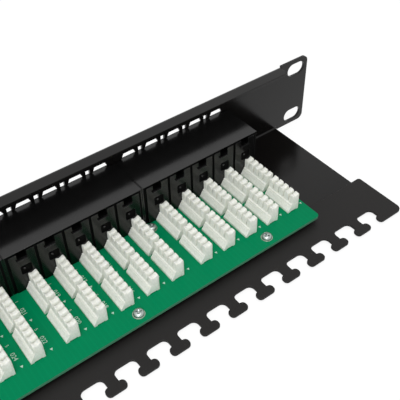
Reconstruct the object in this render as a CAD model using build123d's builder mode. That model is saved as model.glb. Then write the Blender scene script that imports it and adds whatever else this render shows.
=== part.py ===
from build123d import *
import os
from math import radians, tan

# Telephone patch panel for a 19 inch rack, one rack unit high. A folded sheet steel chassis
# carries five moulded jack blocks of two rows by five sockets, soldered to one long circuit
# board with a column of punch-down blocks behind every pair of sockets, and a cable tie bar.
# X runs along the panel, +Y from the front plate to the tie bar and +Z up, in millimetres.
# Y = 0 is the rear face of the plate, which seats on the rack rails. Z = 0 is half its height.

# Front plate and the slots that bolt it to the rack
panel_width = 482.6
panel_height = 44.0
sheet = 1.5
ear_corner_r = 3.5
slot_inset = 8.75
rack_pitch_z = 31.75
slot_length = 12.6
slot_width = 8.0

# Folds: a narrow stiffening flange along the top edge and a deep tray along the bottom edge
fold_width = 439.0
bend_r = 1.0
relief_width = 1.5
flange_depth = 6.8
flange_corner = 2.0
tray_depth = 81.0
tray_corner_r = 2.0

# Cable tie bar: a flat comb that lies on the tray and runs past its sides
bar_sheet = 1.5
bar_width = 448.4
bar_front_y = 63.4
bar_rear_y = 93.9
bar_corner_r = 1.5
tie_count = 26
tie_end = 11.0
tongue_neck = 5.4
tongue_overhang = 2.3
head_depth = 4.6
head_chamfer = 1.1
pocket_depth = 5.4
pocket_chamfer = 1.9

# Circuit board on hexagonal standoffs
board_thickness = 1.6
board_width = 367.0
board_front_y = 2.5
board_rear_y = 73.8
board_corner_r = 2.0
board_lift = 4.0
standoff_across_flats = 5.5
standoff_bore = 2.9
standoff_clearance = 0.05
rear_screw_pitch = 76.0
rear_screw_count = 5
rear_screw_inset = 5.2
front_screw_y = 28.0
front_screw_seam = 1.5
board_hole_d = 3.4
screw_d = 2.8
screw_head_d = 5.6
screw_head_height = 2.0
screw_head_chamfer = 0.6
round_flats = 12

# Jack blocks
block_count = 5
columns_per_block = 5
port_pitch = 14.0
block_pitch = 72.9
block_gap = 0.2
jack_height = 24.9
jack_depth = 24.2
nose_side = 1.7
window_clearance = 0.2
notch_rise = 3.4
notch_top_width = 6.0
notch_base_width = 9.0
small_notch_width = 2.4

# Sockets: a plug opening with a pocket for the latch, upwards in the upper row and
# downwards in the lower row
socket_width = 11.8
socket_height = 6.8
socket_depth = 15.0
latch_width = 6.2
latch_height = 2.4
socket_web = 1.7
contacts_per_socket = 4
contact_pitch = 1.27
contact_width = 0.5
contact_thickness = 0.4
contact_length = 8.5
contact_lean = 18.0
contact_seat = 1.4

# Rear face of the jack blocks
rear_notch_width = 4.8
rear_notch_height = 4.4
rear_notch_depth = 3.0
rear_groove_width = 0.9
rear_groove_depth = 1.2
rear_groove_floor = 2.0

# Punch-down blocks: two in line behind every pair of sockets
idc_per_column = 2
idc_front_y = 25.0
idc_length = 17.9
idc_gap = 2.0
idc_offset = -1.2
idc_base_width = 7.0
idc_base_height = 2.0
idc_tooth_width = 4.8
idc_shoulder_height = 2.8
idc_height = 11.0
idc_slot_count = 4
idc_slot_pitch = 3.83
idc_slot_width = 0.95
idc_slot_floor = 5.2
idc_valley_x = 2.8
idc_valley_depth = 1.2
idc_lip_drop = 0.6

# Levels and places that follow from the sizes above
rack_pitch_x = panel_width - 2 * slot_inset
tie_pitch = (bar_width - 2 * tie_end) / tie_count
pocket_width = tie_pitch - tongue_neck
mouth_width = pocket_width - 2 * tongue_overhang
tray_top_z = sheet - panel_height / 2
bar_top_z = tray_top_z + bar_sheet
board_bottom_z = tray_top_z + board_lift
board_top_z = board_bottom_z + board_thickness
jack_top_z = board_top_z + jack_height
jack_middle_z = board_top_z + jack_height / 2
block_length = block_pitch - block_gap
nose_length = block_length - 2 * nose_side
block_centres = [(i - (block_count - 1) / 2) * block_pitch for i in range(block_count)]
column_offsets = [(i - (columns_per_block - 1) / 2) * port_pitch for i in range(columns_per_block)]
seam_offsets = [(i - (columns_per_block - 2) / 2) * port_pitch for i in range(columns_per_block - 1)]
tie_centres = [(i - (tie_count - 1) / 2) * tie_pitch for i in range(tie_count)]
rear_screw_y = board_rear_y - rear_screw_inset
rear_screws = [((i - (rear_screw_count - 1) / 2) * rear_screw_pitch, rear_screw_y) for i in range(rear_screw_count)]
front_screws = [(side * front_screw_seam * block_pitch + idc_offset, front_screw_y) for side in (-1, 1)]
screw_places = rear_screws + front_screws

os.makedirs("parts", exist_ok=True)


def save(piece, name):
    piece.part.label = name
    export_step(piece.part, f"parts/{name}.step")


# The chassis is one sheet: its section is drawn square and then rounded at the two folds.
fold_space = bend_r + sheet
with BuildPart() as panel_chassis:
    with BuildSketch(Plane.YZ):
        with Locations((-sheet / 2, 0)):
            Rectangle(sheet, panel_height)
        with Locations((-sheet, panel_height / 2)):
            Rectangle(sheet + flange_depth, sheet, align=(Align.MIN, Align.MAX))
        with Locations((-sheet, -panel_height / 2)):
            Rectangle(sheet + tray_depth, sheet, align=(Align.MIN, Align.MIN))
        corners = vertices().filter_by_position(Axis.X, -sheet, -sheet)
        fillet(corners, fold_space)
        inner = vertices().filter_by_position(Axis.X, 0, 0)
        fillet(inner, bend_r)
    extrude(amount=fold_width / 2, both=True)
    # The plate with its ears, cut back at the folds by the bend reliefs
    with BuildSketch(Plane.XZ):
        RectangleRounded(panel_width, panel_height, ear_corner_r)
        with Locations((0, panel_height / 2), (0, -panel_height / 2)):
            Rectangle(fold_width + 2 * relief_width, 2 * fold_space, mode=Mode.SUBTRACT)
    extrude(amount=sheet)
    # Windows for the noses of the jack blocks, with finger notches for the plug latches
    with BuildSketch(Plane.XZ):
        with Locations([(x, jack_middle_z) for x in block_centres]):
            Rectangle(nose_length + 2 * window_clearance, jack_height + 2 * window_clearance)
        for side in (1, -1):
            edge_z = jack_middle_z + side * jack_height / 2
            for centre in block_centres:
                for offset in column_offsets:
                    with BuildLine():
                        x = centre + offset
                        Polyline(
                            (x - notch_base_width / 2, edge_z),
                            (x - notch_top_width / 2, edge_z + side * notch_rise),
                            (x + notch_top_width / 2, edge_z + side * notch_rise),
                            (x + notch_base_width / 2, edge_z),
                            close=True,
                        )
                    make_face()
        for centre in block_centres:
            with Locations([(centre + offset, jack_top_z) for offset in seam_offsets]):
                Rectangle(small_notch_width, 2 * notch_rise)
    extrude(amount=sheet, mode=Mode.SUBTRACT)
    with BuildSketch(Plane.XZ):
        with GridLocations(rack_pitch_x, rack_pitch_z, 2, 2):
            SlotOverall(slot_length, slot_width)
    extrude(amount=sheet, mode=Mode.SUBTRACT)
    # Holes in the tray for the standoffs
    with BuildSketch(Plane.XY.offset(tray_top_z - sheet)):
        with Locations(screw_places):
            RegularPolygon(standoff_across_flats / 2 + standoff_clearance, 6, major_radius=False)
    extrude(amount=sheet, mode=Mode.SUBTRACT)
    upright = edges().filter_by(Axis.Z)
    chamfer(upright.filter_by_position(Axis.Y, flange_depth - bend_r, flange_depth + bend_r), flange_corner)
    upright = edges().filter_by(Axis.Z)
    fillet(upright.filter_by_position(Axis.Y, tray_depth - bend_r, tray_depth + bend_r), tray_corner_r)
save(panel_chassis, "panel_chassis")

# One pocket of the tie bar, with its mouth on the origin: a narrow neck and a wider seat for
# the tie, so the metal between two pockets stands as a mushroom-headed tongue.
with BuildSketch() as tie_pocket:
    Rectangle(mouth_width, head_depth, align=(Align.CENTER, Align.MAX))
    with Locations((0, -head_depth)):
        Rectangle(pocket_width, pocket_depth, align=(Align.CENTER, Align.MAX))
    seat_corners = vertices().group_by(Axis.Y)
    chamfer(seat_corners[0], pocket_chamfer)
    chamfer(vertices().filter_by_position(Axis.Y, -head_depth, -head_depth), head_chamfer)

with BuildPart() as cable_tie_bar:
    with BuildSketch(Plane.XY.offset(tray_top_z)):
        with Locations((0, (bar_front_y + bar_rear_y) / 2)):
            RectangleRounded(bar_width, bar_rear_y - bar_front_y, bar_corner_r)
        with Locations([(x, bar_rear_y) for x in tie_centres]):
            add(tie_pocket.sketch, mode=Mode.SUBTRACT)
        rear_edge = vertices().filter_by_position(Axis.Y, bar_rear_y, bar_rear_y)
        first_tie, last_tie = tie_centres[0], tie_centres[-1]
        chamfer(rear_edge.filter_by_position(Axis.X, first_tie - mouth_width, last_tie + mouth_width), head_chamfer)
        with Locations(rear_screws):
            RegularPolygon(
                standoff_across_flats / 2 + standoff_clearance, 6, major_radius=False, mode=Mode.SUBTRACT
            )
    extrude(amount=bar_sheet)
save(cable_tie_bar, "cable_tie_bar")

with BuildPart() as circuit_board:
    with BuildSketch(Plane.XY.offset(board_bottom_z)):
        with Locations((0, (board_front_y + board_rear_y) / 2)):
            RectangleRounded(board_width, board_rear_y - board_front_y, board_corner_r)
        with Locations(screw_places):
            RegularPolygon(board_hole_d / 2, round_flats, mode=Mode.SUBTRACT)
    extrude(amount=board_thickness)
save(circuit_board, "circuit_board")

# Threaded hexagon standoffs, pressed through the tray and, in the rear row, the tie bar too
with BuildPart() as board_standoffs:
    with BuildSketch(Plane.XY.offset(tray_top_z - sheet)):
        with Locations(screw_places):
            RegularPolygon(standoff_across_flats / 2, 6, major_radius=False)
            RegularPolygon(standoff_bore / 2, round_flats, mode=Mode.SUBTRACT)
    extrude(amount=sheet + board_lift)
save(board_standoffs, "board_standoffs")

# Pan head screws through the board, down to the lower face of the tray
with BuildPart() as board_screws:
    with BuildSketch(Plane.XY.offset(board_top_z)):
        with Locations(screw_places):
            RegularPolygon(screw_head_d / 2, round_flats)
    extrude(amount=screw_head_height)
    chamfer(edges().group_by(Axis.Z)[-1], screw_head_chamfer)
    with BuildSketch(Plane.XY.offset(board_top_z)):
        with Locations(screw_places):
            RegularPolygon(screw_d / 2, round_flats)
    extrude(amount=-(board_thickness + board_lift + sheet))
save(board_screws, "board_screws")


# One socket's outline, from its flat side at the origin with the latch pocket upwards
with BuildSketch() as socket_profile:
    Rectangle(socket_width, socket_height, align=(Align.CENTER, Align.MIN))
    with Locations((0, socket_height)):
        Rectangle(latch_width, latch_height, align=(Align.CENTER, Align.MIN))

# A jack block: the nose fills the window of the plate and the shoulder behind seats on it.
upper_z = jack_middle_z + socket_web / 2
lower_z = jack_middle_z - socket_web / 2
with BuildPart() as jack_block:
    with BuildSketch(Plane.XY.offset(board_top_z)):
        with Locations((0, jack_depth / 2)):
            Rectangle(block_length, jack_depth)
        with Locations((0, -sheet / 2)):
            Rectangle(nose_length, sheet)
    extrude(amount=jack_height)
    with BuildSketch(Plane.XZ.offset(sheet)):
        with Locations([(offset, upper_z) for offset in column_offsets]):
            add(socket_profile.sketch)
        with Locations([(offset, lower_z) for offset in column_offsets]):
            add(socket_profile.sketch, rotation=180)
    extrude(amount=-socket_depth, mode=Mode.SUBTRACT)
    # Rear face: a notch over every column and a groove between columns
    with BuildSketch(Plane.XZ.offset(-jack_depth)):
        with Locations([(offset, jack_top_z) for offset in column_offsets]):
            Rectangle(rear_notch_width, 2 * rear_notch_height)
    extrude(amount=rear_notch_depth, mode=Mode.SUBTRACT)
    groove_low = board_top_z + rear_groove_floor
    with BuildSketch(Plane.XZ.offset(-jack_depth)):
        with Locations([(offset, groove_low) for offset in seam_offsets]):
            Rectangle(rear_groove_width, jack_height, align=(Align.CENTER, Align.MIN))
    extrude(amount=rear_groove_depth, mode=Mode.SUBTRACT)

# Spring contacts lean from the flat side of every socket, in from its mouth.
contact_rise = contact_length * tan(radians(contact_lean))
contact_steps = [(k - (contacts_per_socket - 1) / 2) * contact_pitch for k in range(contacts_per_socket)]
with BuildPart() as jack_contacts:
    for root_z, side in ((upper_z, 1), (lower_z, -1)):
        for x in [offset + step for offset in column_offsets for step in contact_steps]:
            with BuildSketch(Plane.YZ.offset(x - contact_width / 2)):
                with BuildLine():
                    Polyline(
                        (contact_seat, root_z),
                        (contact_seat + contact_length, root_z + side * contact_rise),
                        (contact_seat + contact_length, root_z + side * (contact_rise + contact_thickness)),
                        (contact_seat, root_z + side * contact_thickness),
                        close=True,
                    )
                make_face()
            extrude(amount=contact_width)

for number, centre in enumerate(block_centres, start=1):
    for piece, name in ((jack_block, "jack_block"), (jack_contacts, "jack_contacts")):
        with BuildPart() as placed:
            with Locations((centre, 0, 0)):
                add(piece.part)
        save(placed, f"{name}_{number}")

# Punch-down blocks, two in line for every pair of sockets: a low base with a sloped shoulder
# and a row of forked teeth. The wires are pushed down into the slots between the teeth.
idc_shoulder_z = idc_base_height + idc_shoulder_height
with BuildPart() as idc_pair:
    for row in range(idc_per_column):
        front = idc_front_y + row * (idc_length + idc_gap)
        with BuildSketch(Plane.XZ.offset(-front)):
            left = idc_offset - idc_base_width / 2
            with BuildLine():
                Polyline(
                    (left, board_top_z),
                    (left, board_top_z + idc_height),
                    (left + idc_valley_x, board_top_z + idc_height - idc_valley_depth),
                    (left + idc_tooth_width, board_top_z + idc_height - idc_lip_drop),
                    (left + idc_tooth_width, board_top_z + idc_shoulder_z),
                    (left + idc_base_width, board_top_z + idc_base_height),
                    (left + idc_base_width, board_top_z),
                    close=True,
                )
            make_face()
        extrude(amount=-idc_length)
        slot_y = front + idc_length / 2
        with BuildSketch(Plane.XY.offset(board_top_z + idc_slot_floor)):
            slots = [(i - (idc_slot_count - 1) / 2) * idc_slot_pitch for i in range(idc_slot_count)]
            with Locations([(idc_offset, slot_y + step) for step in slots]):
                Rectangle(2 * idc_base_width, idc_slot_width)
        extrude(amount=idc_height, mode=Mode.SUBTRACT)

number = 0
for centre in block_centres:
    for offset in column_offsets:
        number += 1
        with BuildPart() as placed:
            with Locations((centre + offset, 0, 0)):
                add(idc_pair.part)
        save(placed, f"idc_pair_{number:02d}")
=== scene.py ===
from math import cos, pi, radians, sin
import bmesh
import bpy
from mathutils import Matrix, Vector


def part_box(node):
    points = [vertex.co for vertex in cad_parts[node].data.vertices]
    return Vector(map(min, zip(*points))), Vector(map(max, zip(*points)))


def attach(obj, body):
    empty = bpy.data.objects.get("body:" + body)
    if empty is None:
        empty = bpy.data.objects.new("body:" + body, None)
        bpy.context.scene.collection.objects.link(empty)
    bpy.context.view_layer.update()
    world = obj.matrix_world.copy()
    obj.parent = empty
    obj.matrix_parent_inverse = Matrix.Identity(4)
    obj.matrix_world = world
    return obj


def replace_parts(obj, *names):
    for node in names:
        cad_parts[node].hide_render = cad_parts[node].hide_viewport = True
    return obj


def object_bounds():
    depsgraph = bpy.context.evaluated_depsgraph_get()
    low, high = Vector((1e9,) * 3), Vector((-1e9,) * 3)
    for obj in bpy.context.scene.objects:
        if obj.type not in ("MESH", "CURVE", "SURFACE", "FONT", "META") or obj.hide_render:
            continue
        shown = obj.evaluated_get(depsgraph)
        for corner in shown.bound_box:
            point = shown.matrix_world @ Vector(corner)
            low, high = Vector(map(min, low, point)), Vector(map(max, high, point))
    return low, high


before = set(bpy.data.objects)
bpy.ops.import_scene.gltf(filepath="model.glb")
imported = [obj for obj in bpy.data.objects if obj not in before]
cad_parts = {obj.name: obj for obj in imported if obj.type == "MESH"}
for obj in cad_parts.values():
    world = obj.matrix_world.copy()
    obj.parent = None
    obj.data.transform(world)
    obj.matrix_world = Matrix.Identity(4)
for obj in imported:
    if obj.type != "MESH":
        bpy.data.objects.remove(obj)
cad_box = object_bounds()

# A telephone patch panel, built up as it is put together: the folded steel first, then the
# circuit board with its jacks and punch-down blocks, and last the room that it stands in.
# X runs along the panel, Y back from the front plate and Z up. Sizes are in millimetres here
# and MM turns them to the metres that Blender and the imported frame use.
MM = 0.001
scene = bpy.context.scene


# Chassis: one sheet of 1.5 mm mild steel, punched, folded and powder coated in satin black.
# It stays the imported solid. The coat builds up on edges and bends and rounds them softly.
SATIN_BLACKS = ("#080706", "#0D0B0A")
COAT_GRAIN = 0.5
COAT_DRIFT = 30.0
COAT_EDGE = 0.4
COAT_UNEVEN = 0.06


def linear(colour):
    """Turns an sRGB hex value into linear RGBA."""
    parts = [int(colour[i:i + 2], 16) / 255 for i in (1, 3, 5)]
    return tuple(c / 12.92 if c <= 0.04045 else ((c + 0.055) / 1.055) ** 2.4 for c in parts) + (1.0,)


def add_node(material, kind, settings=None, links=None, stops=()):
    """Adds a shader node with its settings and links, and a ramp's stops as (place, colour)."""
    new = material.node_tree.nodes.new(kind)
    for name, value in (settings or {}).items():
        if hasattr(new, name):
            setattr(new, name, value)
        else:
            new.inputs[name].default_value = value
    for name, output in (links or {}).items():
        material.node_tree.links.new(output, new.inputs[name])
    if stops:
        for element, (place, colour) in zip(new.color_ramp.elements, stops):
            element.position = place
            element.color = linear(colour)
    return new


def blank_material(name):
    """A new material with an empty node tree."""
    material = bpy.data.materials.new(name)
    material.use_nodes = True
    material.node_tree.nodes.clear()
    return material


def object_noise(material, size, detail=2.0):
    """Noise whose lumps measure size millimetres on the object."""
    place = add_node(material, "ShaderNodeTexCoord")
    return add_node(material, "ShaderNodeTexNoise", {"Scale": 1 / (size * MM), "Detail": detail},
                    {"Vector": place.outputs["Object"]}).outputs["Fac"]


def relief(material, height, depth, edge, strength=0.5):
    """A relief of depth millimetres, on edges softened to a radius of edge millimetres."""
    rounding = add_node(material, "ShaderNodeBevel", {"samples": 4, "Radius": edge * MM})
    return add_node(material, "ShaderNodeBump", {"Strength": strength, "Distance": depth * MM},
                    {"Height": height, "Normal": rounding.outputs["Normal"]}).outputs["Normal"]


def close_material(material, settings, links):
    """Ends a material in one principled shader."""
    shader = add_node(material, "ShaderNodeBsdfPrincipled", settings, links)
    add_node(material, "ShaderNodeOutputMaterial", links={"Surface": shader.outputs["BSDF"]})
    return material


def black_powder_coat(name, colours, rough):
    # Fused powder: a deep black with a fine orange-peel grain and slow drifts in its shine.
    material = blank_material(name)
    drift = object_noise(material, COAT_DRIFT, 3.0)
    colour = add_node(material, "ShaderNodeValToRGB", links={"Fac": drift},
                      stops=((0.3, colours[0]), (0.8, colours[1])))
    gloss = add_node(material, "ShaderNodeMapRange", {
        "To Min": rough, "To Max": rough + COAT_UNEVEN}, {"Value": drift})
    normal = relief(material, object_noise(material, COAT_GRAIN), 0.03, COAT_EDGE)
    return close_material(material, {"IOR": 1.5, "Specular IOR Level": 0.26}, {
        "Base Color": colour.outputs["Color"], "Roughness": gloss.outputs["Result"], "Normal": normal})


def dress(node_name, material):
    """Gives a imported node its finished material."""
    slots = bpy.data.objects[node_name].data.materials
    slots.clear()
    slots.append(material)


dress("panel_chassis", black_powder_coat("satin_black_powder_coat", SATIN_BLACKS, 0.15))


# Cable tie bar: a flat steel comb laid on the rear of the tray, in a duller black coat. Punched
# pockets with a narrow mouth leave mushroom-headed tongues, here with their real round corners.
MATT_BLACKS = ("#110F0E", "#161413")
TIE_COUNT = 26
TIE_END = 11.0
TONGUE_NECK = 5.4
TONGUE_OVERHANG = 2.3
HEAD_DEPTH = 4.6
HEAD_RADIUS = 2.0
UNDER_HEAD_RADIUS = 0.3
POCKET_DEPTH = 5.4
POCKET_RADIUS = 2.7
BAR_CORNER = 1.6
BAR_REAR_CORNER = 3.0
SHEET_EDGE = 0.25


def round_corners(corners, steps=6):
    """Outline through corners given as (x, y, radius), with an arc at each."""
    outline = []
    for i, (x, y, radius) in enumerate(corners):
        here = Vector((x, y))
        back = (Vector(corners[i - 1][:2]) - here).normalized()
        on = (Vector(corners[(i + 1) % len(corners)][:2]) - here).normalized()
        half = back.angle(on) / 2
        centre = here + (back + on).normalized() * radius / sin(half)
        first = here + back * radius / (sin(half) / cos(half)) - centre
        last = here + on * radius / (sin(half) / cos(half)) - centre
        turn = first.angle_signed(last)
        for k in range(steps + 1):
            outline.append(centre + Matrix.Rotation(-turn * k / steps, 2) @ first)
    return outline


def sheet_mesh(name, outlines, thickness, edge):
    """A flat sheet of the outlines' shape, its lower face on Z = 0, with rounded edges."""
    curve = bpy.data.curves.new(name, "CURVE")
    curve.dimensions = "2D"
    curve.fill_mode = "BOTH"
    curve.extrude = (thickness / 2 - edge) * MM
    curve.bevel_depth = edge * MM
    curve.bevel_resolution = 1
    curve.offset = -edge * MM
    for outline in outlines:
        spline = curve.splines.new("POLY")
        spline.points.add(len(outline) - 1)
        for point, place in zip(spline.points, outline):
            point.co = (place[0] * MM, place[1] * MM, 0, 1)
        spline.use_cyclic_u = True
    holder = bpy.data.objects.new(name, curve)
    mesh = bpy.data.meshes.new_from_object(holder)
    bpy.data.objects.remove(holder)
    mesh.name = name
    mesh.transform(Matrix.Translation((0, 0, thickness / 2 * MM)))
    return mesh


def smooth(mesh, angle=35):
    """Shades a mesh smooth, apart from edges sharper than angle degrees."""
    for face in mesh.polygons:
        face.use_smooth = True
    mesh.set_sharp_from_angle(angle=radians(angle))
    return mesh


def place_piece(name, mesh, material, where=(0, 0, 0)):
    """Puts a finished mesh in the scene, on the panel's one body."""
    if not mesh.materials:
        mesh.materials.append(material)
    new = bpy.data.objects.new(name, mesh)
    new.location = Vector(where) * MM
    scene.collection.objects.link(new)
    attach(new, "root")
    return new


bar_low, bar_high = (Vector(corner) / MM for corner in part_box("cable_tie_bar"))
tie_pitch = (bar_high.x - bar_low.x - 2 * TIE_END) / TIE_COUNT
pocket_half = (tie_pitch - TONGUE_NECK) / 2
mouth_half = pocket_half - TONGUE_OVERHANG
corners = [(bar_low.x, bar_low.y, BAR_CORNER), (bar_high.x, bar_low.y, BAR_CORNER),
           (bar_high.x, bar_high.y, BAR_REAR_CORNER)]
for i in reversed(range(TIE_COUNT)):
    middle = (i - (TIE_COUNT - 1) / 2) * tie_pitch
    under = bar_high.y - HEAD_DEPTH
    seat = under - POCKET_DEPTH
    corners += [(middle + mouth_half, bar_high.y, HEAD_RADIUS), (middle + mouth_half, under, HEAD_RADIUS),
                (middle + pocket_half, under, UNDER_HEAD_RADIUS), (middle + pocket_half, seat, POCKET_RADIUS),
                (middle - pocket_half, seat, POCKET_RADIUS), (middle - pocket_half, under, UNDER_HEAD_RADIUS),
                (middle - mouth_half, under, HEAD_RADIUS), (middle - mouth_half, bar_high.y, HEAD_RADIUS)]
corners.append((bar_low.x, bar_high.y, BAR_REAR_CORNER))
comb = smooth(sheet_mesh("tie_bar_comb", [round_corners(corners)], bar_high.z - bar_low.z, SHEET_EDGE))
matt_coat = black_powder_coat("matt_black_powder_coat", MATT_BLACKS, 0.5)
tie_bar = place_piece("tie_bar_comb", comb, matt_coat, (0, 0, bar_low.z))
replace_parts(tie_bar, "cable_tie_bar")


# Standoffs: hexagonal brass, turned and nickel plated, pressed through the tray. They stay
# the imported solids, under the board.
NICKEL = "#C9C4B8"
MARK_GRAIN = 0.8
PLATE_UNEVEN = 0.15


def plated_metal(name, colour, rough):
    # Bright plating: a clean metal shine with fine handling marks that vary its roughness.
    material = blank_material(name)
    marks = object_noise(material, MARK_GRAIN)
    gloss = add_node(material, "ShaderNodeMapRange", {
        "To Min": rough, "To Max": rough + PLATE_UNEVEN}, {"Value": marks})
    normal = relief(material, marks, 0.02, 0.1, 0.3)
    return close_material(material, {"Base Color": linear(colour), "Metallic": 1.0}, {
        "Roughness": gloss.outputs["Result"], "Normal": normal})


dress("board_standoffs", plated_metal("nickel_plated_brass", NICKEL, 0.28))


# Circuit board: 1.6 mm glass epoxy under a green solder mask. Copper tracks show
# through the mask as slightly lighter lines, and the sawn edge shows the pale laminate.
MASK_GREEN = "#008053"
MASK_OVER_TRACK = "#008355"
MASK_EDGE = "#4E8A6C"
MASK_RIPPLE = 3.0
TRACK_PITCH = 2.54
WAVE_PERIOD = 0.314


def solder_mask():
    # A lacquer over copper: even green with faint straight tracks and a soft, low shine. The
    # wave repeats every WAVE_PERIOD at a scale of 1, so its scale gives the real track pitch.
    material = blank_material("green_solder_mask")
    place = add_node(material, "ShaderNodeTexCoord")
    tracks = add_node(material, "ShaderNodeTexWave", {
        "bands_direction": "X", "Scale": WAVE_PERIOD / (TRACK_PITCH * MM), "Distortion": 0.0},
        {"Vector": place.outputs["Object"]})
    green = add_node(material, "ShaderNodeValToRGB", links={"Fac": tracks.outputs["Fac"]},
                     stops=((0.75, MASK_GREEN), (0.9, MASK_OVER_TRACK)))
    facing = add_node(material, "ShaderNodeSeparateXYZ", links={
        "Vector": add_node(material, "ShaderNodeNewGeometry").outputs["True Normal"]})
    flat = add_node(material, "ShaderNodeMath", {"operation": "ABSOLUTE"}, {"Value": facing.outputs["Z"]})
    colour = add_node(material, "ShaderNodeMixRGB", {"Color1": linear(MASK_EDGE)}, {
        "Fac": flat.outputs["Value"], "Color2": green.outputs["Color"]})
    normal = relief(material, object_noise(material, MASK_RIPPLE), 0.04, 0.15, 0.3)
    return close_material(material, {"IOR": 1.5, "Roughness": 0.3, "Specular IOR Level": 0.05}, {
        "Base Color": colour.outputs["Color"], "Normal": normal})


dress("circuit_board", solder_mask())


# Jack blocks: moulded from black polycarbonate. The imported blocks stay, under a glossy lid,
# with a thin near-black sheet of painted shade over their rear face and in its notches. Every
# column of sockets has its own clipped-on cover, set below the lid, with a notch, a ledge under
# it, a well and a peg.
JACK_BLACK = "#0F0F0F"
# Painted shade: the rear covers are a darker black than the lid, for the shade on the rear side.
SHADED_COVER_BLACK = "#070707"
# Painted shade: a near-black sheet over the rear faces and in the notches.
PAINTED_SHADE_BLACK = "#020202"
BLOCK_COUNT = 5
COLUMNS = 5
PORT_PITCH = 14.0
SHADE_LIFT = 0.04
SHADE_MARGIN = 0.7
COVER_WIDTH = 12.7
COVER_SHEET = 0.55
COVER_DROP = 1.1
COVER_EDGE = 0.12
COVER_CORNER = 0.3
INNER_CORNER = 0.2
WELL_CORNER = 0.8
NOTCH_WIDTH = 4.8
NOTCH_HEIGHT = 4.4
NOTCH_DEPTH = 3.0
WELL_WIDTH = 5.4
WELL_TOP = 8.3
WELL_BOTTOM = 13.5
WELL_SHIFT = -0.6
LEDGE = (5.4, 1.1, 0.7)
LEDGE_SHIFT = 0.4
LEDGE_SINK = 0.2
LEDGE_EDGE = 0.2
PEG_RADIUS = 0.7
PEG_PLACE = (0.3, 0.3, -10.1)
LID_SHEET = 0.3
LID_EDGE = 0.1
LID_GAP = 0.3
RESIN_GRAIN = 0.35
RESIN_DRIFT = 8.0
RESIN_UNEVEN = 0.12


def black_resin(name, colour, rough, shine):
    # Injection moulded resin: near black, a fine texture from the tool and a low plastic shine.
    material = blank_material(name)
    drift = object_noise(material, RESIN_DRIFT)
    gloss = add_node(material, "ShaderNodeMapRange", {
        "To Min": rough, "To Max": rough + RESIN_UNEVEN}, {"Value": drift})
    normal = relief(material, object_noise(material, RESIN_GRAIN), 0.015, 0.15)
    return close_material(material, {
        "Base Color": linear(colour), "IOR": 1.585, "Specular IOR Level": shine}, {
        "Roughness": gloss.outputs["Result"], "Normal": normal})


jack_black = black_resin("black_polycarbonate", JACK_BLACK, 0.12, 0.38)
# A darker copy of the same resin, painted shade on the rear covers.
shaded_cover_black = black_resin("shaded_black_cover_resin", SHADED_COVER_BLACK, 0.16, 0.3)
# Near-black painted shade for the rear faces and notches.
painted_shade_black = black_resin("painted_recess_shade", PAINTED_SHADE_BLACK, 0.6, 0.05)
for number in range(1, BLOCK_COUNT + 1):
    dress(f"jack_block_{number}", jack_black)

block_low, block_high = (Vector(corner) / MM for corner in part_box("jack_block_1"))
block_pitch = Vector(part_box("jack_block_2")[0]).x / MM - block_low.x
block_centres = [(block_low.x + block_high.x) / 2 + block * block_pitch for block in range(BLOCK_COUNT)]
ports = [(column - (COLUMNS - 1) / 2) * PORT_PITCH for column in range(COLUMNS)]
columns = [centre + port for centre in block_centres for port in ports]
block_height = block_high.z - block_low.z


def add_face(form, places):
    """Adds a face through places in millimetres to a bmesh."""
    form.faces.new([form.verts.new(Vector(place) * MM) for place in places])


def rear_liner():
    """The painted shade sheet over one block's rear face and notches, with its top edge on Z = 0 and the face
    on Y = 0.
    """
    form = bmesh.new()
    half = (block_high.x - block_low.x) / 2 - SHADE_MARGIN
    side = NOTCH_WIDTH / 2 - SHADE_LIFT
    floor = SHADE_LIFT - NOTCH_HEIGHT
    back = SHADE_LIFT - NOTCH_DEPTH
    near = SHADE_LIFT
    outline = [(half, near, -block_height), (half, near, 0)]
    for port in reversed(ports):
        left, right = port - side, port + side
        outline += [(right, near, 0), (right, near, floor), (left, near, floor), (left, near, 0)]
        add_face(form, [(left, back, floor), (right, back, floor), (right, back, 0), (left, back, 0)])
        add_face(form, [(left, back, floor), (right, back, floor), (right, near, floor), (left, near, floor)])
        for x in (left, right):
            add_face(form, [(x, back, floor), (x, near, floor), (x, near, 0), (x, back, 0)])
    add_face(form, outline + [(-half, near, 0), (-half, near, -block_height)])
    mesh = bpy.data.meshes.new("jack_rear_painted_shade")
    form.to_mesh(mesh)
    form.free()
    return mesh


def rounded_box(form, size, middle, edge):
    """Adds a box with softened edges to a bmesh."""
    made = bmesh.ops.create_cube(form, size=1.0)["verts"]
    for vert in made:
        vert.co = Vector(middle) * MM + Vector(v * s for v, s in zip(vert.co, size)) * MM
    edges = list({e for vert in made for e in vert.link_edges})
    bmesh.ops.bevel(form, geom=edges, offset=edge * MM, segments=2, affect="EDGES")


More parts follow.
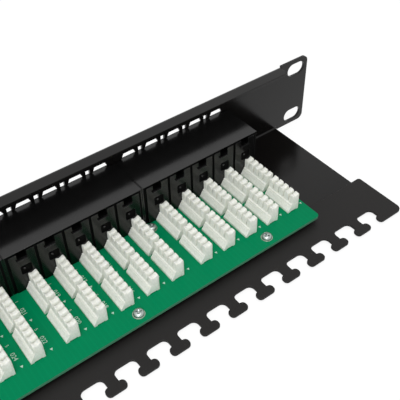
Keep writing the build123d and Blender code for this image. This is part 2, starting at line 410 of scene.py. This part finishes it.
def rear_cover():
    """The cover of one column of sockets, with its top edge on Z = 0 and its back on Y = 0."""
    height = block_height - COVER_DROP
    half = COVER_WIDTH / 2
    notch = NOTCH_WIDTH / 2
    under = NOTCH_HEIGHT - COVER_DROP
    outer = round_corners([
        (-half, -height, COVER_CORNER), (half, -height, COVER_CORNER), (half, 0, COVER_CORNER),
        (notch, 0, INNER_CORNER), (notch, -under, INNER_CORNER), (-notch, -under, INNER_CORNER),
        (-notch, 0, INNER_CORNER), (-half, 0, COVER_CORNER)], 2)
    left, right = WELL_SHIFT - WELL_WIDTH / 2, WELL_SHIFT + WELL_WIDTH / 2
    well = round_corners([(left, -WELL_BOTTOM, WELL_CORNER), (right, -WELL_BOTTOM, WELL_CORNER),
                          (right, -WELL_TOP, WELL_CORNER), (left, -WELL_TOP, WELL_CORNER)], 3)
    mesh = sheet_mesh("jack_rear_cover", [outer, well], COVER_SHEET, COVER_EDGE)
    mesh.transform(Matrix.Rotation(pi / 2, 4, "X"))
    mesh.transform(Matrix.Translation((0, COVER_SHEET * MM, 0)))
    form = bmesh.new()
    form.from_mesh(mesh)
    deep, tall = LEDGE[1:]
    ledge_middle = (LEDGE_SHIFT, COVER_SHEET + deep / 2 - LEDGE_SINK, -under - tall / 2)
    rounded_box(form, LEDGE, ledge_middle, LEDGE_EDGE)
    peg = bmesh.ops.create_uvsphere(form, u_segments=16, v_segments=10, radius=PEG_RADIUS * MM)["verts"]
    bmesh.ops.translate(form, verts=peg, vec=Vector(PEG_PLACE) * MM)
    form.to_mesh(mesh)
    form.free()
    return smooth(mesh)


lid_half = (block_high.x - block_low.x) / 2 - LID_GAP
lid_back = block_high.y + COVER_SHEET
lid_outline = round_corners([(-lid_half, LID_GAP, INNER_CORNER), (lid_half, LID_GAP, INNER_CORNER),
                             (lid_half, lid_back, INNER_CORNER), (-lid_half, lid_back, INNER_CORNER)], 2)
lid = smooth(sheet_mesh("jack_lid", [lid_outline], LID_SHEET, LID_EDGE))
for number, centre in enumerate(block_centres, start=1):
    place_piece(f"jack_lid_{number}", lid, jack_black, (centre, 0, block_high.z))
# Painted shade: a near-black sheet on each block's rear face and in its notches.
shade_sheet = rear_liner()
for number, centre in enumerate(block_centres, start=1):
    place_piece(f"jack_rear_painted_shade_{number}", shade_sheet, painted_shade_black,
                (centre, block_high.y, block_high.z))
# The covers wear the darker resin, painted shade on the rear side.
cover = rear_cover()
for number, middle in enumerate(columns, start=1):
    place_piece(f"jack_rear_cover_{number:02d}", cover, shaded_cover_black,
                (middle, block_high.y + SHADE_LIFT, block_high.z - COVER_DROP))


# Spring contacts: phosphor bronze wire, flashed with gold, four to a socket. They stay the
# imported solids, held in the jack blocks.
GOLD = "#E3B866"

gold = plated_metal("gold_flashed_bronze", GOLD, 0.16)
for number in range(1, BLOCK_COUNT + 1):
    dress(f"jack_contacts_{number}", gold)


# Punch-down blocks: moulded from off-white nylon, two in line behind each pair of sockets.
# Five forked teeth stand over four wire slots, with a ledge and a sloped shoulder at the foot.
NYLON_WHITE = "#F3F4ED"
NYLON_SHADE = "#E6E8DF"
BLOCK_LENGTH = 17.9
BLOCK_GAP = 2.0
SLOTS = 4
SLOT_PITCH = 3.83
SLOT_HALF = 0.4
SLOT_FLOOR = 5.0
MOULD_EDGE = 0.08
MOTTLE_SIZE = 0.9
TOOTH_TOP = [(0.0, 9.3), (0.12, 10.0), (0.45, 10.45), (0.85, 10.5), (1.4, 10.2), (2.1, 9.75),
             (2.8, 9.65), (3.35, 9.9), (3.9, 10.2), (4.25, 10.15), (4.4, 9.7)]
SHOULDER = [(4.4, 4.75), (5.05, 4.6), (5.2, 4.35), (4.85, 4.2), (4.85, 3.9), (5.4, 3.75),
            (6.5, 1.75), (6.75, 1.55), (6.95, 1.25), (7.0, 1.1), (7.0, 0.0), (5.4, 0.0),
            (5.2, 0.4), (1.6, 0.4), (1.4, 0.0)]
LEAD_IN = [(1.02, 0.0), (0.86, 0.1), (0.68, 0.42), (0.5, 0.95), (SLOT_HALF, 1.4)]
END_ROUND = [(0.0, 0.4), (0.12, 0.12), (0.35, 0.0)]


def tooth_stations(length):
    """Places along a block with how far its top is cut down there, or None in a slot."""
    stations = list(END_ROUND)
    for i in range(SLOTS):
        middle = length / 2 + (i - (SLOTS - 1) / 2) * SLOT_PITCH
        stations += [(middle - away, drop) for away, drop in LEAD_IN]
        stations += [(middle - SLOT_HALF, None), (middle + SLOT_HALF, None)]
        stations += [(middle + away, drop) for away, drop in reversed(LEAD_IN)]
    stations += [(length - y, drop) for y, drop in reversed(END_ROUND)]
    return stations


def add_block(form, left, front, foot):
    """Adds one block to a bmesh as a row of sections joined along Y."""
    rows = []
    for y, drop in tooth_stations(BLOCK_LENGTH):
        tops = [(x, SLOT_FLOOR if drop is None else z - drop) for x, z in TOOTH_TOP]
        profile = [(0.0, 0.0)] + tops + SHOULDER
        rows.append([form.verts.new(Vector((left + x, front + y, foot + z)) * MM) for x, z in profile])
    for back, on in zip(rows, rows[1:]):
        for i in range(len(back)):
            j = (i + 1) % len(back)
            form.faces.new((back[i], back[j], on[j], on[i]))
    form.faces.new(list(reversed(rows[0])))
    form.faces.new(rows[-1])


def nylon():
    # Natural nylon: a soft white that light sinks into a little, matt with a moulded mottle.
    # The mottle is drawn coarser than the mould's own grain, so that it shows.
    material = blank_material("off_white_nylon")
    mottle = object_noise(material, MOTTLE_SIZE, 3.0)
    tint = add_node(material, "ShaderNodeValToRGB", links={"Fac": mottle},
                    stops=((0.35, NYLON_SHADE), (0.65, NYLON_WHITE)))
    normal = relief(material, mottle, 0.16, 0.12, 0.6)
    return close_material(material, {
        "Roughness": 0.5, "IOR": 1.53, "Subsurface Weight": 0.15,
        "Subsurface Radius": (1.0, 0.95, 0.8), "Subsurface Scale": 0.5 * MM}, {
        "Base Color": tint.outputs["Color"], "Normal": normal})


pair_low = Vector(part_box("idc_pair_01")[0]) / MM
form = bmesh.new()
for row in range(2):
    add_block(form, pair_low.x - columns[0], pair_low.y + row * (BLOCK_LENGTH + BLOCK_GAP), pair_low.z)
bmesh.ops.recalc_face_normals(form, faces=form.faces)
sharp = [e for e in form.edges if len(e.link_faces) == 2 and e.calc_face_angle() > radians(50)]
bmesh.ops.bevel(form, geom=sharp, offset=MOULD_EDGE * MM, segments=1, affect="EDGES")
pair_mesh = bpy.data.meshes.new("punch_down_pair")
form.to_mesh(pair_mesh)
form.free()
smooth(pair_mesh, 40)
white_nylon = nylon()
for number, middle in enumerate(columns, start=1):
    pair = place_piece(
        f"punch_down_pair_{number:02d}", pair_mesh, white_nylon, (middle, 0, 0))
    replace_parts(pair, f"idc_pair_{number:02d}")


# Print: white ink on the board beside every punch-down block, with a digit for its first
# wire, a plain number and a small triangle. The plate has plain port numbers.
INK_WHITE = "#C9DCD0"
INK_SHADE = "#A5C7B4"
INK_GRAIN = 0.6
INK_LIFT = 0.02
PRINT_X = -7.6
PRINT_ROWS = (28.6, 47.8)
LABEL_STEP = 6.9
MARK_STEP = 13.5
MARK_SHIFT = -0.6
MARK = (0.7, 1.3)
DIGIT_SIZE = 2.2
LABEL_SIZE = 3.0
PORT_SIZE = 2.6
PORT_RISE = 5.6


def white_ink():
    # Screen-printed ink: slightly uneven white, matt.
    material = blank_material("screen_printed_ink")
    colour = add_node(material, "ShaderNodeValToRGB", links={"Fac": object_noise(material, INK_GRAIN)},
                      stops=((0.3, INK_SHADE), (0.7, INK_WHITE)))
    return close_material(material, {"Roughness": 0.6}, {"Base Color": colour.outputs["Color"]})


def add_words(form, words, size, place):
    """Adds flat lettering to a bmesh, centred on its own origin and moved by a matrix."""
    curve = bpy.data.curves.new("print", "FONT")
    curve.body = words
    curve.size = size * MM
    curve.align_x = "CENTER"
    curve.align_y = "CENTER"
    curve.resolution_u = 3
    holder = bpy.data.objects.new("print", curve)
    mesh = bpy.data.meshes.new_from_object(holder)
    bpy.data.objects.remove(holder)
    mesh.transform(place)
    form.from_mesh(mesh)
    bpy.data.meshes.remove(mesh)


def finish_print(name, form):
    """Turns a bmesh of print into a piece in white ink."""
    mesh = bpy.data.meshes.new(name)
    form.to_mesh(mesh)
    form.free()
    return place_piece(name, mesh, ink)


ink = white_ink()
board_top = pair_low.z + INK_LIFT
form = bmesh.new()
label = 0
for middle in columns:
    for row, y in enumerate(PRINT_ROWS):
        label += 1
        x = middle + PRINT_X
        wire_digit = (str(1 + SLOTS * row), DIGIT_SIZE, 0.0)
        block_number = (f"{label:03d}", LABEL_SIZE, LABEL_STEP)
        for words, size, step in (wire_digit, block_number):
            spot = Matrix.Translation(Vector((x, y + step, board_top)) * MM)
            add_words(form, words, size, spot @ Matrix.Rotation(pi / 2, 4, "Z"))
        half, long = MARK
        tip, foot = x + MARK_SHIFT, y + MARK_STEP - half
        add_face(form, [(tip - half, foot, board_top), (tip + half, foot, board_top),
                        (tip, foot + long, board_top)])
finish_print("board_print", form)

form = bmesh.new()
plate_low = Vector(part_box("panel_chassis")[0]) / MM
for number, middle in enumerate(columns, start=1):
    place = Vector((middle, plate_low.y - INK_LIFT, block_high.z + PORT_RISE)) * MM
    add_words(form, str(number), PORT_SIZE, Matrix.Translation(place) @ Matrix.Rotation(pi / 2, 4, "X"))
finish_print("port_numbers", form)


# Board screws: zinc plated pan heads with a cross recess, through the board into standoffs.
# A ring of tinned copper round each hole shows past the head.
ZINC = "#A9B2AE"
ZINC_ROUGH = (0.22, 0.4)
TIN = "#B9BDB2"
HEAD_PROFILE = [(0.0, 2.0), (0.5, 2.0), (1.0, 1.97), (1.5, 1.88), (1.85, 1.74), (2.15, 1.55),
                (2.38, 1.3), (2.54, 1.0), (2.63, 0.7), (2.65, 0.4), (2.65, 0.0)]
HEAD_SIDES = 48
HEAD_STEPS = 4
PACKED_HEAD_RADIUS = 2.8
CROSS_ARM = 1.55
CROSS_HALF = 0.38
CROSS_DEPTH = 1.0
CROSS_LEVEL = 1.5
CROSS_TAPER = 0.6
SHANK_RADIUS = 1.4
SHANK_TIP = 0.9
SHANK_LENGTH = 7.1
PAD_RADIUS = 2.95
PAD_HOLE = 1.9
PAD_SIDES = 40
SCREW_TURN = (0.7, 0.3)
REAR_SCREWS = 5
FRONT_SCREWS = (-110.55, 108.15)


def pan_head(form, x, y, level, turn):
    """Adds one screw to a bmesh, spun from its profile, with the cross pressed into the top."""
    rings = []
    profile = [(r + (s - r) * k / HEAD_STEPS, a + (b - a) * k / HEAD_STEPS)
               for (r, a), (s, b) in zip(HEAD_PROFILE, HEAD_PROFILE[1:]) for k in range(HEAD_STEPS)]
    profile += [HEAD_PROFILE[-1], (SHANK_RADIUS, 0.0), (SHANK_RADIUS, -SHANK_LENGTH),
                (SHANK_TIP, -SHANK_LENGTH)]
    for radius, height in profile[1:]:
        ring = []
        for k in range(HEAD_SIDES):
            angle = 2 * pi * k / HEAD_SIDES
            px, py = radius * cos(angle), radius * sin(angle)
            along, across = max(abs(px), abs(py)), min(abs(px), abs(py))
            pressed = 0.0
            if height > CROSS_LEVEL and along < CROSS_ARM and across < CROSS_HALF:
                pressed = CROSS_DEPTH * (1 - (along / CROSS_ARM) ** 2 * CROSS_TAPER)
            spot = Matrix.Rotation(turn, 2) @ Vector((px, py))
            ring.append(form.verts.new(Vector((x + spot.x, y + spot.y, level + height - pressed)) * MM))
        rings.append(ring)
    centre = form.verts.new(Vector((x, y, level + HEAD_PROFILE[0][1] - CROSS_DEPTH)) * MM)
    for k in range(HEAD_SIDES):
        on = (k + 1) % HEAD_SIDES
        form.faces.new((centre, rings[0][k], rings[0][on]))
        for inner, outer in zip(rings, rings[1:]):
            form.faces.new((inner[k], outer[k], outer[on], inner[on]))
    form.faces.new(list(reversed(rings[-1])))


def zinc_plate():
    # Bright zinc: clean pale metal with a soft shine that changes a little from place to place.
    material = blank_material("bright_zinc_plate")
    marks = object_noise(material, MARK_GRAIN)
    gloss = add_node(material, "ShaderNodeMapRange", {
        "To Min": ZINC_ROUGH[0], "To Max": ZINC_ROUGH[1]}, {"Value": marks})
    normal = relief(material, marks, 0.03, 0.1, 0.4)
    return close_material(material, {"Base Color": linear(ZINC), "Metallic": 1.0}, {
        "Roughness": gloss.outputs["Result"], "Normal": normal})


screws_low, screws_high = (Vector(corner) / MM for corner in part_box("board_screws"))
span = screws_high.x - screws_low.x - 2 * PACKED_HEAD_RADIUS
screw_places = [(screws_low.x + PACKED_HEAD_RADIUS + span * i / (REAR_SCREWS - 1),
                 screws_high.y - PACKED_HEAD_RADIUS) for i in range(REAR_SCREWS)]
screw_places += [(x, screws_low.y + PACKED_HEAD_RADIUS) for x in FRONT_SCREWS]
form = bmesh.new()
for number, (x, y) in enumerate(screw_places):
    pan_head(form, x, y, pair_low.z, number * SCREW_TURN[0] + SCREW_TURN[1])
bmesh.ops.recalc_face_normals(form, faces=form.faces)
heads = bpy.data.meshes.new("pan_head_screws")
form.to_mesh(heads)
form.free()
bright_zinc = zinc_plate()
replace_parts(place_piece("pan_head_screws", smooth(heads, 30), bright_zinc), "board_screws")

form = bmesh.new()
for x, y in screw_places:
    turns = [2 * pi * k / PAD_SIDES for k in range(PAD_SIDES)]
    hole, rim = [[form.verts.new(Vector((x + radius * cos(turn), y + radius * sin(turn), board_top)) * MM)
                  for turn in turns] for radius in (PAD_HOLE, PAD_RADIUS)]
    for k in range(PAD_SIDES):
        on = (k + 1) % PAD_SIDES
        form.faces.new((hole[k], rim[k], rim[on], hole[on]))
pads = bpy.data.meshes.new("screw_pads")
form.to_mesh(pads)
form.free()
place_piece("screw_pads", pads, plated_metal("tinned_copper", TIN, 0.35))


# Room: a white light tent. A sheet of white paper lies under the panel and keeps its soft
# shadow, the white world lights it evenly, and two soft boxes stand above and at the side.
PAPER_WHITE = "#F2F2F1"
PAPER_SHADE = "#6E6E6E"
PAPER_GLOW = 0.88
PAPER_GAP = 0.1
ROOM_SIZE = 6.0
TENT_LIGHT = 0.5
AIM = Vector((-0.13, 0.05, 0.0))


def seen_or_mirrored(owner):
    """1 where the camera sees a surface, straight, mirrored or through glass, and 0 elsewhere."""
    path = add_node(owner, "ShaderNodeLightPath")
    mirrored = add_node(owner, "ShaderNodeMath", {"operation": "MAXIMUM"})
    owner.node_tree.links.new(path.outputs["Is Glossy Ray"], mirrored.inputs[0])
    owner.node_tree.links.new(path.outputs["Is Transmission Ray"], mirrored.inputs[1])
    seen = add_node(owner, "ShaderNodeMath", {"operation": "MAXIMUM"})
    owner.node_tree.links.new(path.outputs["Is Camera Ray"], seen.inputs[0])
    owner.node_tree.links.new(mirrored.outputs[0], seen.inputs[1])
    return seen.outputs[0]


def white_paper():
    # Matt white paper that always shows white, with a faint shadow of the panel.
    material = blank_material("white_paper")
    sheet = add_node(material, "ShaderNodeBsdfDiffuse", {"Color": linear(PAPER_WHITE)})
    shade = add_node(material, "ShaderNodeBsdfDiffuse", {"Color": linear(PAPER_SHADE)})
    glow = add_node(material, "ShaderNodeEmission", {"Color": (1, 1, 1, 1), "Strength": PAPER_GLOW})
    shown = add_node(material, "ShaderNodeAddShader")
    material.node_tree.links.new(shade.outputs[0], shown.inputs[0])
    material.node_tree.links.new(glow.outputs[0], shown.inputs[1])
    mix = add_node(material, "ShaderNodeMixShader", links={"Fac": seen_or_mirrored(material)})
    material.node_tree.links.new(sheet.outputs[0], mix.inputs[1])
    material.node_tree.links.new(shown.outputs[0], mix.inputs[2])
    add_node(material, "ShaderNodeOutputMaterial", links={"Surface": mix.outputs[0]})
    return material


paper_mesh = bpy.data.meshes.new("paper_floor")
edge = ROOM_SIZE / 2
level = cad_box[0][2] - PAPER_GAP * MM
paper_corners = [(-edge, -edge, level), (edge, -edge, level), (edge, edge, level), (-edge, edge, level)]
paper_mesh.from_pydata(paper_corners, [], [(0, 1, 2, 3)])
paper_mesh.materials.append(white_paper())
paper_floor = bpy.data.objects.new("paper_floor", paper_mesh)
scene.collection.objects.link(paper_floor)


def soft_box(name, place, size, power):
    """A square area lamp, size metres wide, aimed at the visible half of the panel."""
    lamp = bpy.data.lights.new(name, "AREA")
    lamp.shape = "SQUARE"
    lamp.size = size
    lamp.energy = power
    stand = bpy.data.objects.new(name, lamp)
    scene.collection.objects.link(stand)
    stand.location = place
    stand.rotation_euler = (AIM - Vector(place)).to_track_quat("-Z", "Y").to_euler()


soft_box("top_soft_box", (0.1, 0.35, 1.5), 1.0, 9.5)
soft_box("side_soft_box", (0.8, 0.9, 0.9), 0.8, 6.0)

tent = bpy.data.worlds.new("white_tent")
tent.use_nodes = True
strength = add_node(
    tent, "ShaderNodeMapRange", {"To Min": TENT_LIGHT, "To Max": 1.0}, {"Value": seen_or_mirrored(tent)})
tent.node_tree.links.new(strength.outputs["Result"], tent.node_tree.nodes["Background"].inputs["Strength"])
tent.node_tree.nodes["Background"].inputs["Color"].default_value = (1, 1, 1, 1)
scene.world = tent


# Camera: behind the panel and above its middle, turned towards the -X end. Its place, angles
# and lens come from the photograph, by way of the rack slots and the plate's edges.
CAMERA_PLACE = (9.546, 233.449, 229.015)
CAMERA_TURN = 143.707
CAMERA_TILT = 46.434
CAMERA_ROLL = -1.406
LENS = 60.564

lens = bpy.data.cameras.new("photo_camera")
lens.sensor_width = 36.0
lens.lens = LENS
lens.clip_start = 0.01
camera = bpy.data.objects.new("photo_camera", lens)
scene.collection.objects.link(camera)
turned = Matrix.Rotation(radians(CAMERA_TURN), 4, "Z") @ Matrix.Rotation(radians(CAMERA_TILT), 4, "X")
turned = turned @ Matrix.Rotation(radians(CAMERA_ROLL), 4, "Z")
camera.matrix_world = Matrix.Translation(Vector(CAMERA_PLACE) * MM) @ turned
scene.camera = camera
scene.view_settings.view_transform = "Standard"
